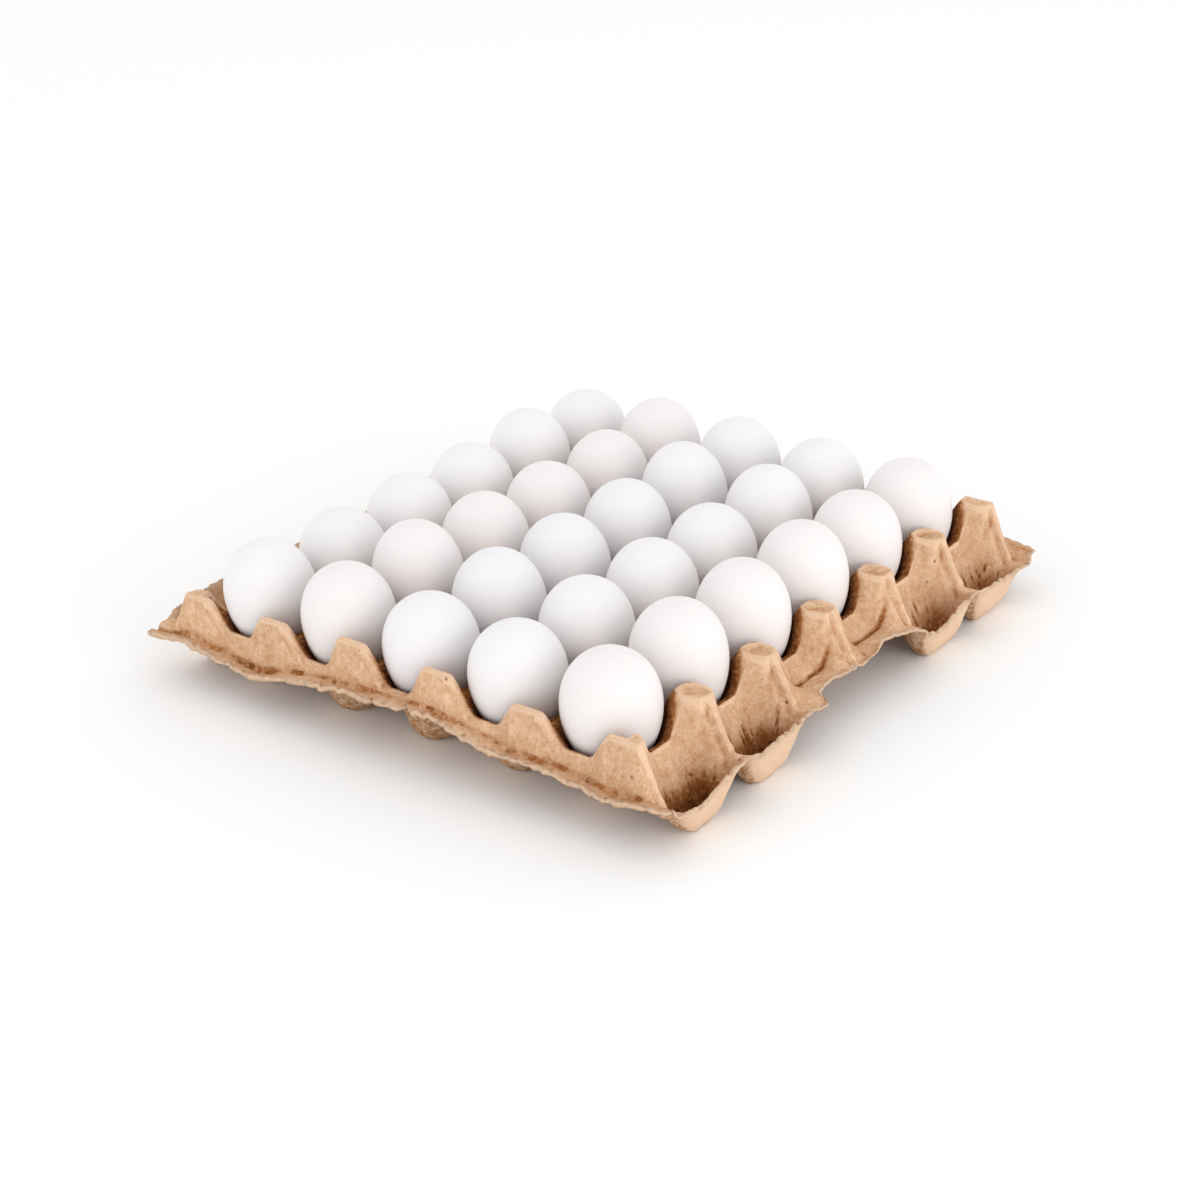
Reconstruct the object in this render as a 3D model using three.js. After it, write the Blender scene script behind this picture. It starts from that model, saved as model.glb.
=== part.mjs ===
// A moulded pulp tray of thirty white hen's eggs, five along X and six along Y, blunt ends up.
// Millimetres, +Z up. The origin is on the table, under the middle of the tray.
import * as THREE from "three";

// Layout of the cells
const COLUMNS = 5;
const ROWS = 6;
const PITCH_X = 50;
const PITCH_Y = 46.6;
const POST_LINE_X = (COLUMNS * PITCH_X) / 2;
const POST_LINE_Y = (ROWS * PITCH_Y) / 2;

// Moulded pulp sheet: heights are those of its upper face above the table
const PULP = 2.2;
const POST_TOP = 46;
const SADDLE = 30.5;
const SHELF_CREASE = 23.5;

// Posts at the corners of the cells, with flat rounded tops
const POST_HALF_X = 7.5;
const POST_HALF_Y = 6.5;
const POST_CORNER = 4;
const POST_SPREAD = 10.5;
const POST_FLANK = 1.15;
const POST_MID_FLANK = 5;

// Cups that hold the eggs: a flat floor, a curved wall, and steep faces up the posts
const CUP_FLOOR_RADIUS = 9;
const CUP_FLOOR_HALF = 5.4;
const CUP_WALL_RADIUS = 23.3;
const CUP_CURVE = 1.5;
const CUP_BRIM_RADIUS = 22;
const CUP_FACE_SLOPE = 7.5;
const FLOOR_TOLERANCE = 0.01;

// Wide flanges along the sides of six eggs: four deep scoops and two flat shelves in the middle
const RIM_OUT_X = 27.5;
const SHELF_RIM_OUT_X = 20.5;
const FRONT_RIM_HEIGHT = 23;
const BACK_RIM_HEIGHT = 30;
const RIM_CORNER_DROP = 4;
const RIDGE_FOOT = 18;
const RIDGE_HALF_WIDTH = 1.5;
const RIDGE_END_RISE = 1;
const RIDGE_SPREAD = 9.5;
const SCOOP_INNER_FOOT = 13.5;
const SCOOP_OUTER_FOOT = 20.5;
const SHELF_FOOT = 10;
const SHELVES = [2, 3];

// The front rim, on +X, is torn back between these two places along Y, and lifted beyond the second
const NOTCH_START = -31;
const NOTCH_END = 14;
const NOTCH_LIFT = 6.5;
const NOTCH_LIFT_FALL = 38;

// Narrow lip along the sides of five eggs, bowed up in the middle and sagging near one end
const RIM_OUT_Y = 9.7;
const LIP_HEIGHT = 23.5;
const LIP_BOW = { at: 8, rise: 6.5, reach: 36 };
const LIP_SAG = { at: -88, rise: -4.5, reach: 16 };
const WALL_TOP_OUT = 0.8;
const WALL_FOOT_OUT = 3.5;

// Flat panels of the outer wall in front of the posts
const PANEL_HALF_WIDTH = 7.5;
const PANEL_BLEND = 10;
const PANEL_TOP_OUT = 2;
const PANEL_FOOT_OUT = 5.5;

// Eggs: one row of numbers for each row of cells along Y, one number for each cell along X
const EGG_LENGTHS = [
  [58, 58, 55, 55, 56],
  [55, 62, 59, 57, 60],
  [57, 58, 58, 57, 60],
  [57, 57, 59, 57, 61],
  [61, 58, 63, 61, 58],
  [55, 61, 60, 58, 58],
];
const EGG_LEANS = [
  [-6, -3, -2, -2, 0],
  [1, -3, -4, -1, 0],
  [1, 0, -3, 2, 2],
  [0, 2, 0, 0, 2],
  [-3, 3, -1, 0, 0],
  [1, -3, 0, -2, -1],
];
const LEAN_TOWARD = 40;
const EGG_GIRTH = 43.7;
const EGG_POINTEDNESS = 3;
const EGG_GAP = 2.1;
const EGG_SIDES = 12;
const EGG_BANDS = 7;
const FITTING_BANDS = 60;

const pulp = new THREE.MeshStandardMaterial({ color: 0xc9a27a, roughness: 0.95, metalness: 0 });
const shell = new THREE.MeshStandardMaterial({ color: 0xf1eeec, roughness: 0.5, metalness: 0 });

const clamp = THREE.MathUtils.clamp;
const mix = THREE.MathUtils.lerp;

// 1 at the start and 0 at the end of a flank that gets flatter on its way down
const flank = (share, power) => (1 - clamp(share, 0, 1)) ** power;

const bump = ({ at, rise, reach }, x) => rise * Math.exp(-(((x - at) / reach) ** 2));

// Signed distance from the nearest line of posts, where lines lie a pitch apart and the outermost is at edge
const fromPostLine = (x, edge, pitch) => x - (Math.round((x + edge) / pitch) * pitch - edge);

// Distance outside the flat top of the nearest post
function outsidePost(x, y) {
  const dx = Math.abs(fromPostLine(x, POST_LINE_X, PITCH_X)) - POST_HALF_X + POST_CORNER;
  const dy = Math.abs(fromPostLine(y, POST_LINE_Y, PITCH_Y)) - POST_HALF_Y + POST_CORNER;
  return Math.hypot(Math.max(dx, 0), Math.max(dy, 0)) + Math.min(Math.max(dx, dy), 0) - POST_CORNER;
}

function cupHeight(radius) {
  const share = clamp((radius - CUP_FLOOR_RADIUS) / (CUP_WALL_RADIUS - CUP_FLOOR_RADIUS), 0, 1);
  const wall = PULP + (SADDLE - PULP) * (1 - flank(share, CUP_CURVE));
  return wall + CUP_FACE_SLOPE * Math.max(radius - CUP_BRIM_RADIUS, 0);
}

// Posts, and the walls that hang between them, before the cups are pressed in
const postHeight = (x, y) => mix(SADDLE, POST_TOP, flank(outsidePost(x, y) / POST_SPREAD, POST_FLANK));

function cellHeight(x, y) {
  const radius = Math.hypot(
    PITCH_X / 2 - Math.abs(fromPostLine(x, POST_LINE_X, PITCH_X)),
    PITCH_Y / 2 - Math.abs(fromPostLine(y, POST_LINE_Y, PITCH_Y)),
  );
  return Math.min(cupHeight(radius), postHeight(x, y));
}

const scoopAt = (y) => clamp(Math.floor((y + POST_LINE_Y) / PITCH_Y), 0, ROWS - 1);

const inNotch = (y, side) => side > 0 && y > NOTCH_START && y < NOTCH_END;

const rimOutX = (y, side) => (inNotch(y, side) ? SHELF_RIM_OUT_X : RIM_OUT_X);

function rimHeight(y, side) {
  const nearCorner = THREE.MathUtils.smoothstep(Math.abs(y), POST_LINE_Y - PITCH_Y / 2, POST_LINE_Y);
  const drop = RIM_CORNER_DROP * nearCorner;
  if (side < 0) return BACK_RIM_HEIGHT - drop;
  const lift = y > NOTCH_END ? NOTCH_LIFT * clamp(1 - (y - NOTCH_END) / NOTCH_LIFT_FALL, 0, 1) : 0;
  return FRONT_RIM_HEIGHT - drop + lift;
}

// Lowest line of a scoop or shelf, out from the post line
function valleyHeight(out, y, side) {
  const rim = rimHeight(y, side);
  if (SHELVES.includes(scoopAt(y))) {
    if (out < SHELF_FOOT) return mix(SADDLE, SHELF_CREASE, out / SHELF_FOOT);
    return mix(SHELF_CREASE, rim, (out - SHELF_FOOT) / (rimOutX(y, side) - SHELF_FOOT));
  }
  if (out < SCOOP_INNER_FOOT) return mix(SADDLE, PULP, out / SCOOP_INNER_FOOT);
  const climb = clamp((out - SCOOP_OUTER_FOOT) / (RIM_OUT_X - SCOOP_OUTER_FOOT), 0, 1);
  return mix(PULP, rim, climb);
}

// 0 where a ridge leaves its post and 1 from its foot outwards
const ridgeShare = (out) => clamp((out - POST_HALF_X) / (RIDGE_FOOT - POST_HALF_X), 0, 1);

const ridgeHalfWidth = (out) => mix(POST_HALF_Y, RIDGE_HALF_WIDTH, ridgeShare(out));

// Wide flange: ridges run out from the posts to the rim, with scoops and shelves between them
function wideFlangeHeight(out, y, side) {
  const foot = ridgeShare(out);
  const end = clamp((out - RIDGE_FOOT) / (RIM_OUT_X - RIDGE_FOOT), 0, 1);
  const crest = mix(POST_TOP, rimHeight(y, side) - RIDGE_END_RISE, foot) + RIDGE_END_RISE * end;
  const aside = Math.abs(fromPostLine(y, POST_LINE_Y, PITCH_Y));
  const share = (aside - ridgeHalfWidth(out)) / mix(POST_SPREAD, RIDGE_SPREAD, foot);
  return mix(valleyHeight(out, y, side), crest, flank(share, POST_FLANK));
}

// Where the outer wall starts and where it meets the lip, out from the post line
function wallOuts(x) {
  const aside = Math.abs(fromPostLine(clamp(x, -POST_LINE_X, POST_LINE_X), POST_LINE_X, PITCH_X));
  const panel = 1 - clamp((aside - PANEL_HALF_WIDTH) / PANEL_BLEND, 0, 1);
  return {
    start: mix(WALL_TOP_OUT, PANEL_TOP_OUT, panel),
    foot: mix(WALL_FOOT_OUT, PANEL_FOOT_OUT, panel),
  };
}

const lipHeight = (x) => LIP_HEIGHT + bump(LIP_BOW, x) + bump(LIP_SAG, x);

// The lip on +Y is the one on -Y turned half round
function sheetHeight(x, y) {
  const beyondX = Math.abs(x) - POST_LINE_X;
  const beyondY = Math.abs(y) - POST_LINE_Y;
  const inside = clamp(y, -POST_LINE_Y, POST_LINE_Y);
  const top = beyondX > 0 ? wideFlangeHeight(beyondX, inside, Math.sign(x)) : cellHeight(x, inside);
  if (beyondY <= 0) return top;
  const { start, foot } = wallOuts(x);
  return mix(top, lipHeight(-Math.sign(y) * x), clamp((beyondY - start) / (foot - start), 0, 1));
}

// Distances from one post line to the next where the form turns: post top, post foot, wall and floor
function stepsInCell(pitch, postHalf) {
  return [
    0,
    postHalf,
    postHalf + POST_MID_FLANK,
    pitch / 2 - CUP_FLOOR_HALF,
    pitch / 2 + CUP_FLOOR_HALF,
    pitch - postHalf - POST_MID_FLANK,
    pitch - postHalf,
  ];
}

// Lines of the sheet's grid on one axis: those inside the outer post lines, then a count of those beyond
function gridLines(cells, pitch, steps, beyond) {
  const edge = (cells * pitch) / 2;
  const lines = [];
  for (let k = beyond; k >= 1; k--) lines.push({ side: -1, rank: k });
  for (let cell = 0; cell < cells; cell++) {
    for (const step of steps) lines.push({ side: 0, at: cell * pitch + step - edge });
  }
  lines.push({ side: 0, at: edge });
  for (let k = 1; k <= beyond; k++) lines.push({ side: 1, rank: k });
  return lines;
}

// Beyond its first line, where the ridges start, the wide flange has grid lines at these shares of its width
const FLANGE_SHARES = [0.45, 0.655, 0.75, 0.875, 1];

// Lines on the outer wall and its lip: the wall's top and foot, the middle of the lip and its edge
const WALL_LINES = 4;

const FLANGE_LINES = FLANGE_SHARES.length + 1;

const columnsOfGrid = gridLines(COLUMNS, PITCH_X, stepsInCell(PITCH_X, POST_HALF_X), FLANGE_LINES);
const rowsOfGrid = gridLines(ROWS, PITCH_Y, stepsInCell(PITCH_Y, POST_HALF_Y), WALL_LINES);

// How far out from the post line a column of the grid lies where the rim isn't torn back
function nominalOut(column) {
  if (column.side === 0) return 0;
  return column.rank === 1 ? POST_HALF_X : FLANGE_SHARES[column.rank - 2] * RIM_OUT_X;
}

function gridX(column, y) {
  if (column.side === 0) return column.at;
  const out = nominalOut(column);
  const drawnBack = column.rank === 1 ? out : (out * rimOutX(y, column.side)) / RIM_OUT_X;
  return column.side * (POST_LINE_X + drawnBack);
}

// Rows beside a ridge draw in towards it as it gets thinner, and crowd together on the sides of scoops
function besideRidge(y, out) {
  const offset = fromPostLine(y, POST_LINE_Y, PITCH_Y);
  const aside = Math.abs(offset);
  const halfWidth = ridgeHalfWidth(out);
  const crowding = SHELVES.includes(scoopAt(y)) ? 1 : 1 + ridgeShare(out);
  const share = (aside - POST_HALF_Y) / (PITCH_Y / 2 - POST_HALF_Y);
  const onRidge = (aside / POST_HALF_Y) * halfWidth;
  const drawn = share > 0 ? mix(halfWidth, PITCH_Y / 2, share ** crowding) : onRidge;
  return y - offset + Math.sign(offset) * drawn;
}

function gridY(row, x) {
  const { start, foot } = wallOuts(x);
  const outs = [start, foot, (foot + RIM_OUT_Y) / 2, RIM_OUT_Y];
  return row.side * (POST_LINE_Y + outs[row.rank - 1]);
}

// Upper face of the sheet as a grid of points
function upperPoints() {
  return rowsOfGrid.map((row) =>
    columnsOfGrid.map((column) => {
      const drawn = row.side === 0 ? besideRidge(row.at, nominalOut(column)) : row.side * POST_LINE_Y;
      const x = gridX(column, drawn);
      const y = row.side === 0 ? drawn : gridY(row, x);
      return new THREE.Vector3(x, y, sheetHeight(x, y));
    }),
  );
}

// Lower face: each point lies one pulp thickness below its upper point, square to the sheet, and the
// floors of cups and scoops stand flat on the table
function lowerPoints(upper) {
  const at = (j, i) => upper[clamp(j, 0, upper.length - 1)][clamp(i, 0, upper[0].length - 1)];
  return upper.map((line, j) =>
    line.map((point, i) => {
      const alongX = at(j, i + 1).clone().sub(at(j, i - 1));
      const alongY = at(j + 1, i).clone().sub(at(j - 1, i));
      const normal = alongX.cross(alongY).normalize();
      const lower = point.clone().addScaledVector(normal, -PULP);
      lower.z = point.z < PULP + FLOOR_TOLERANCE ? 0 : Math.max(lower.z, 0);
      return lower;
    }),
  );
}

function trayGeometry() {
  const upper = upperPoints();
  const lower = lowerPoints(upper);
  const across = columnsOfGrid.length;
  const down = rowsOfGrid.length;
  const count = across * down;
  const index = [];
  const quad = (a, b, c, d) => index.push(a, b, c, a, c, d);
  for (let j = 0; j < down - 1; j++) {
    for (let i = 0; i < across - 1; i++) {
      const a = j * across + i;
      const [b, c, d] = [a + 1, a + across + 1, a + across];
      // The shorter climb of the two diagonals follows the form
      const rising = Math.abs(upper[j][i].z - upper[j + 1][i + 1].z);
      const falling = Math.abs(upper[j][i + 1].z - upper[j + 1][i].z);
      if (rising <= falling) {
        quad(a, b, c, d);
        quad(a + count, d + count, c + count, b + count);
      } else {
        quad(b, c, d, a);
        quad(b + count, a + count, d + count, c + count);
      }
    }
  }
  const edge = [];
  for (let i = 0; i < across - 1; i++) edge.push(i);
  for (let j = 0; j < down - 1; j++) edge.push(j * across + across - 1);
  for (let i = across - 1; i > 0; i--) edge.push((down - 1) * across + i);
  for (let j = down - 1; j > 0; j--) edge.push(j * across);
  edge.forEach((a, k) => {
    const b = edge[(k + 1) % edge.length];
    quad(a, a + count, b + count, b);
  });
  const points = [...upper.flat(), ...lower.flat()].flatMap((p) => p.toArray());
  const geometry = new THREE.BufferGeometry();
  geometry.setAttribute("position", new THREE.Float32BufferAttribute(points, 3));
  geometry.setIndex(index);
  geometry.computeVertexNormals();
  return geometry;
}

// Radius of an egg at a height above its middle, the blunt end being above
function eggRadius(length, height) {
  const along = -2 * height;
  const blunt = 4 * EGG_POINTEDNESS * along + 4 * EGG_POINTEDNESS ** 2;
  return (EGG_GIRTH / 2) * Math.sqrt(Math.max(length ** 2 - along ** 2, 0) / (length ** 2 + blunt));
}

function eggProfile(length, bands) {
  return Array.from({ length: bands + 1 }, (_, k) => {
    const height = (-length / 2) * Math.cos((Math.PI * k) / bands);
    return new THREE.Vector2(eggRadius(length, height), height);
  });
}

// Ring on which an egg rests: the lowest height of the egg's middle, and the point on the egg's axis
// that the shell around the ring curves about, so that a lean about it keeps the egg in its cup
function restOf(length) {
  const lowerHalf = eggProfile(length, FITTING_BANDS).filter((p) => p.y < 0);
  const heights = lowerHalf.map((p) => cupHeight(p.x) + EGG_GAP - p.y);
  const middle = Math.max(...heights);
  const ring = heights.indexOf(middle);
  const [below, at] = [lowerHalf[ring - 1], lowerHalf[ring]];
  return { middle, turnsAbout: at.y + (at.x * (at.x - below.x)) / (at.y - below.y) };
}

function eggMesh(row, column) {
  const length = EGG_LENGTHS[row][column];
  const { middle, turnsAbout } = restOf(length);
  const toward = THREE.MathUtils.degToRad(LEAN_TOWARD);
  const leanAxis = new THREE.Vector3(-Math.sin(toward), Math.cos(toward), 0);
  const geometry = new THREE.LatheGeometry(eggProfile(length, EGG_BANDS), EGG_SIDES)
    .rotateX(Math.PI / 2)
    .translate(0, 0, -turnsAbout);
  const egg = new THREE.Mesh(geometry, shell);
  egg.name = `egg_${row + 1}_${column + 1}`;
  egg.setRotationFromAxisAngle(leanAxis, THREE.MathUtils.degToRad(EGG_LEANS[row][column]));
  egg.position.set(
    (column - (COLUMNS - 1) / 2) * PITCH_X,
    (row - (ROWS - 1) / 2) * PITCH_Y,
    middle + turnsAbout,
  );
  return egg;
}

const trayOfEggs = new THREE.Group();

const tray = new THREE.Mesh(trayGeometry(), pulp);
tray.name = "tray";
trayOfEggs.add(tray);

for (let row = 0; row < ROWS; row++) {
  for (let column = 0; column < COLUMNS; column++) trayOfEggs.add(eggMesh(row, column));
}

export default trayOfEggs;
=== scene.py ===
"""A moulded pulp tray of thirty white hen's eggs, dressed over its CAD frame.

The sheet of pulp repeats the forms of the CAD tray on a fine grid, with the beads, torn rims and relief
of real pulp added. Each egg is a fine surface on the poles of its CAD egg.
Sizes are in millimetres until a mesh is made, and then in metres.
"""

import math

import bpy
import numpy as np
from mathutils import Matrix, Vector, noise


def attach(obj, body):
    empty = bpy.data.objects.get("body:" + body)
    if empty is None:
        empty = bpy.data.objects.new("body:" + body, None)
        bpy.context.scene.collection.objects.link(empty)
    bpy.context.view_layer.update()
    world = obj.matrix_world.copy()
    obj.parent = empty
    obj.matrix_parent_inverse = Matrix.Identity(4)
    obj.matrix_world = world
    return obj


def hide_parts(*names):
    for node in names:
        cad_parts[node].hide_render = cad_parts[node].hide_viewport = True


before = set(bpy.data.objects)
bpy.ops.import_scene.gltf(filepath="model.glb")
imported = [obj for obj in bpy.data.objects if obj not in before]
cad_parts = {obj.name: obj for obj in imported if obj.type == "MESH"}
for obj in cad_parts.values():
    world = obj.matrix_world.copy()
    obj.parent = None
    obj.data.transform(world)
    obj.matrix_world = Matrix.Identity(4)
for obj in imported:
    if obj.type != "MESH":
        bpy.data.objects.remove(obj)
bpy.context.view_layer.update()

MM = 0.001
BODY = "root"

# Layout of the cells, as in the CAD part
COLUMNS = 5
ROWS = 6
PITCH_X = 50
PITCH_Y = 46.6
POST_LINE_X = COLUMNS * PITCH_X / 2
POST_LINE_Y = ROWS * PITCH_Y / 2

# Sheet of pulp: heights are those of its upper face above the table
PULP = 2.2
POST_TOP = 46
SADDLE = 30.5
SHELF_CREASE = 23.5

# Posts: those of the row nearest the camera vary as measured, from -X to +X, and the rest by chance
POST_HALF_X = 7.5
POST_HALF_Y = 6.5
POST_CORNER = 4
POST_SPREAD = 10.5
POST_FLANK = 1.05
LIP_POST_BACK = 1.8
LIP_POST_CORNER = 1.2
LIP_POST_STEEPNESS = 1.8
FRONT_POST_TOPS = (44.1, 44.7, 48, 47.3, 44.1, 45)
POST_UNEVENNESS = 0.7
CHANCE_BY_COLUMN = 12.9
CHANCE_BY_ROW = 78.2
DISH_DEPTH = 1.5
DISH_HALF_X = 6.6
DISH_HALF_Y = 4.8
DISH_UNEVENNESS = 0.55

# Cups
CUP_FLOOR_RADIUS = 9
CUP_WALL_RADIUS = 23.3
CUP_CURVE = 1.5
CUP_BRIM_RADIUS = 22
CUP_FACE_SLOPE = 7.5

# Wide flange along the sides of six eggs
RIM_OUT_X = 27.5
RIDGE_FOOT = 18
RIDGE_HALF_WIDTH = 1.6
RIDGE_END_RISE = 1
RIDGE_SPREADS = (13, 13, 11, 10, 11, 8, 12)
POST_OVAL_REACH = 9
SCOOP_INNER_FOOT = 13.5
SCOOP_OUTER_FOOT = 20.5
SHELF_FOOT = 10
SHELVES = (2, 3)

# Rims of the wide flanges at places along Y: their height, and how far the front one, on +X, lies out
# from the post line. Between -31 and 14 that one is torn back, and beyond that it rises over a gap.
FRONT_RIM_HEIGHTS = (
    (-140, 18.5), (-127, 18), (-119, 20.5), (-103, 24), (-93, 23), (-84, 21.5), (-67, 23.5),
    (-48, 23.5), (-34, 21.5), (-29, 24.5), (-19, 25.5), (-3, 23.5), (11, 21.5), (17, 29),
    (25, 28), (35, 26), (52, 21), (66, 20), (77, 23.5), (90, 23.5), (113, 21.5), (140, 18),
)
BACK_RIM_HEIGHTS = (
    (-140, 25.5), (-130, 28.8), (-114, 29.9), (-103, 31.2), (-53, 30.2), (-20, 29), (49, 31.8),
    (100, 30), (140, 27),
)
FRONT_RIM_OUTS = (
    (-140, 27.5), (-33, 27.5), (-30, 20.5), (12, 20.5), (16, 22.5), (35, 24.5), (66, 26.5), (77, 27.5),
)

# Narrow lip along the sides of five eggs: its height at places along X
LIP_HEIGHTS = (
    (-150, 23), (-126, 25), (-114, 22.5), (-101, 20), (-90, 18.5), (-82, 19), (-65, 23.5), (-48, 26),
    (-24, 28.5), (0, 29.5), (21, 31), (41, 28), (62, 24.5), (89, 24.5), (113, 22), (127, 21.5),
    (140, 24), (150, 24.5),
)
RIM_OUT_Y = 9.7
WALL_TOP_OUT = 0.8
WALL_FOOT_OUT = 3.5
PANEL_HALF_WIDTH = 7.5
PANEL_BLEND = 10
PANEL_TOP_OUT = 2
PANEL_FOOT_OUT = 5.5

# Beads pressed on the ridges and along one edge of each panel, and the grooves beside them
MOUND_POWER = 1.5
BEAD_FADE = 2
RIDGE_BEAD = 1.4
RIDGE_BEAD_HALF = 2
RIDGE_GROOVE = 0.45
RIDGE_FINE_REACH = 4
RIDGE_GROOVE_AT = 3
RIDGE_KNOB = 0.9
RIDGE_KNOB_HALF = 2.6
PANEL_BEAD = 0.6
PANEL_BEAD_AT = 1.1
PANEL_BEAD_HALF = 1.5
PANEL_BEAD_FROM = 5
PANEL_BEAD_TO = 17
PANEL_BEAD_STEEPNESS = 6
PANEL_GROOVE = 0.35
PANEL_GROOVE_AT = 3.2
PANEL_EDGE_COSINE = 0.53

# Grooves at the feet of the panels with painted shade and a wider rusty tint along them, and the creases of
# the shelves
FOOT_FLAT = 0.3
FOOT_GROOVE = 1.1
FOOT_GROOVE_HALF = 1.9
FOOT_SHADE_HALF = 2
FOOT_TINT = 0.35
FOOT_TINT_HALF = 5.5
WALL_STEEPNESS = 4.5
CREASE_DEPTH = 1.2
CREASE_HALF = 1.3
CREASE_START = 5
CREASE_FADE = 4
GROOVE_HALF = 1.1

# Torn rims and the relief of the pulp
RIM_POWER = 4
PULL_POWER = 3
RIM_RAG = 1.2
RIM_RAG_FINE = 1.8
WIDE_RIM_RAG = 0.45
WIDE_RIM_JUT = 0.3
RIM_TEAR = 2.5
RIM_WAVE = 0.9
RIM_WAVE_FINE = 1
LIP_THICKENING = 0.5
RIM_THINNING = 0.35
CORNER_PULL = 1
BACK_CORNER_REACH = 1
EDGE_SWELL = 0.2
EDGE_UNEVENNESS = 0.4
RELIEF = 0.24
FINE_RELIEF_SHARE = 0.6
TOP_CALM = 0.6
TOP_CALM_RISE = 6
CUP_FOOT_SWELL = 1.3
FLOOR_REACH = 0.3

# Folds that run down into the scoops
STREAK_RELIEF = 0.8
STREAK_TOP = 16
STREAK_RISE = 5
STREAK_START = 4
STREAK_END_FADE = 3
STREAK_FAN = 4
STREAK_DENSITY = 5
STREAK_SCOOP_SHIFT = 3
STREAK_WIDTH = 1.3
STREAK_SHARPNESS = 7

# Painted shade: in the depths, where the pulp is low, and around each egg
LOW_TOP = 16
LOW_RISE = 10
LIGHTER_SCOOP_SHADE = 0.5
LIP_CLEAR = 0.4
EGG_SHADE_RADIUS = 27.5
EGG_SHADE_FADE = 3

# Shares that the material reads: roughness and painted light of undersides and edges, painted highlight on
# rims, reach of the painted shade in hollows
SMOOTH_UNDER = 0.3
ROUGH_UNDER = 1
EDGE_UNDER = 0.4
FACING_FADE = 0.5
PALE_RIM_POWER = 3
HOLLOW_PASSES = 30
CREASE_PASSES = 4

# Grains of noise: a size in millimetres and a seed. The seeds of the eggs count up from the first.
SEED_STEP = (17.3, 5.1, 9.7)
RAG_GRAIN = (11, 1)
FINE_RAG_GRAIN = (2.2, 2)
STREAK_GRAIN = (1, 3)
STREAK_TOP_GRAIN = (0.6, 15)
RELIEF_GRAIN = (7, 4)
FINE_RELIEF_GRAIN = (3, 5)
WAVE_GRAIN = (14, 6)
FINE_WAVE_GRAIN = (2.8, 11)
EDGE_GRAIN = (1.7, 7)
DISH_GRAIN = (5, 13)
EGG_GRAIN_SIZE = 24
FIRST_EGG_SEED = 10

# Patches of noise: each has a base, a swing about it and a grain
TEAR_PATCHES = (-1, 3, (6, 9))
LIP_PATCHES = (0.5, 1, (9, 8))
FOOT_GROOVE_PATCHES = (0.6, 1.1, (5, 12))
FOOT_SHADE_PATCHES = (0.6, 1.2, (9, 14))
CREASE_SHADE_PATCHES = (0.8, 1, (6, 16))

# Grid of the sheet: lines are close together around the posts and further apart across the cups.
# The lower face uses every second line.
FINE_REACH = 13
POST_LINES = 6
FLANK_LINES = 5
COARSE_LINES_X = 16
COARSE_LINES_Y = 18
FLANGE_LINES = 34
WALL_LINES = 18
LIP_LINES = 8

# Passes that round the sheet's corners and even out its normals
FILLET_PASSES = 10
NORMAL_PASSES = 2

# Eggs
EGG_POINTEDNESS = 3
EGG_SIDES = 56
EGG_BANDS = 40
EGG_UNEVENNESS = 0.25

# Camera at the photograph's viewing angle: place in metres, angles in degrees, focal length in millimetres
CAMERA_PLACE = (0.60885, -0.72748, 0.47218)
CAMERA_AZIMUTH = 39.94
CAMERA_ELEVATION = 25.63
CAMERA_ROLL = -3.40
SENSOR_WIDTH = 36
CAMERA_LENS = 65.73

# Studio light, brighter from the sides than from above, over a wide white floor in millimetres
HORIZON_STRENGTH = 1.3
ZENITH_STRENGTH = 0.92
WHITE = (1, 1, 1, 1)
FLOOR_WHITE = (0.93, 0.93, 0.93, 1)
FLOOR_HALF = 4000

# Colours of the pulp, from pale and highlighted to rust and the near black of painted shade
KRAFT_PALE_AND_HIGHLIGHT = (0.88, 0.62, 0.43, 1)
KRAFT = (0.70, 0.425, 0.245, 1)
KRAFT_DARK = (0.55, 0.31, 0.165, 1)
KRAFT_ROUGH_AND_SHADE = (0.55, 0.25, 0.085, 1)
KRAFT_RUST_AND_SHADE = (0.42, 0.17, 0.05, 1)
KRAFT_DEEP_SHADE = (0.11, 0.028, 0.006, 1)
SPECK = (0.16, 0.07, 0.03, 1)

# How strongly rims are given a painted highlight and depths and folds a painted shade, and how matt the
# surfaces are
RIM_HIGHLIGHT = 0.65
DEEP_SHADE = 0.9
FOLD_SHADE = 0.75
PULP_ROUGHNESS = 0.95
PULP_SHEEN = 0.15
SHELL_SHEEN = 0.3

# Each shell's colour and that of the faint clouds on it. The step mixes the shells over the rows.
SHELLS = {
    "eggshell_white": ((0.82, 0.81, 0.81, 1), (0.81, 0.79, 0.79, 1)),
    "eggshell_rosy": ((0.82, 0.79, 0.785, 1), (0.81, 0.77, 0.76, 1)),
    "eggshell_lilac": ((0.81, 0.80, 0.82, 1), (0.80, 0.78, 0.80, 1)),
}
SHELL_STEP = 7


def clamp01(share):
    return np.clip(share, 0, 1)


def mix(start, end, share):
    return start + (end - start) * share


def faded(distance, fade):
    """0 well before an edge, a half on it and 1 well beyond it"""
    return clamp01(distance / fade + 0.5)


def flank(share, power):
    """1 at the start and 0 at the end of a flank that gets flatter on its way down"""
    return (1 - clamp01(share)) ** power


def mound(distance, half_width):
    """1 in the middle of a rounded bead and 0 from its edges outwards"""
    return clamp01(1 - (distance / half_width) ** 2) ** MOUND_POWER


def along_line(points, place):
    places, values = zip(*points)
    return np.interp(place, places, values)


def from_post_line(x, edge, pitch):
    """Signed distance from the nearest line of posts"""
    return x - (np.round((x + edge) / pitch) * pitch - edge)


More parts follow.
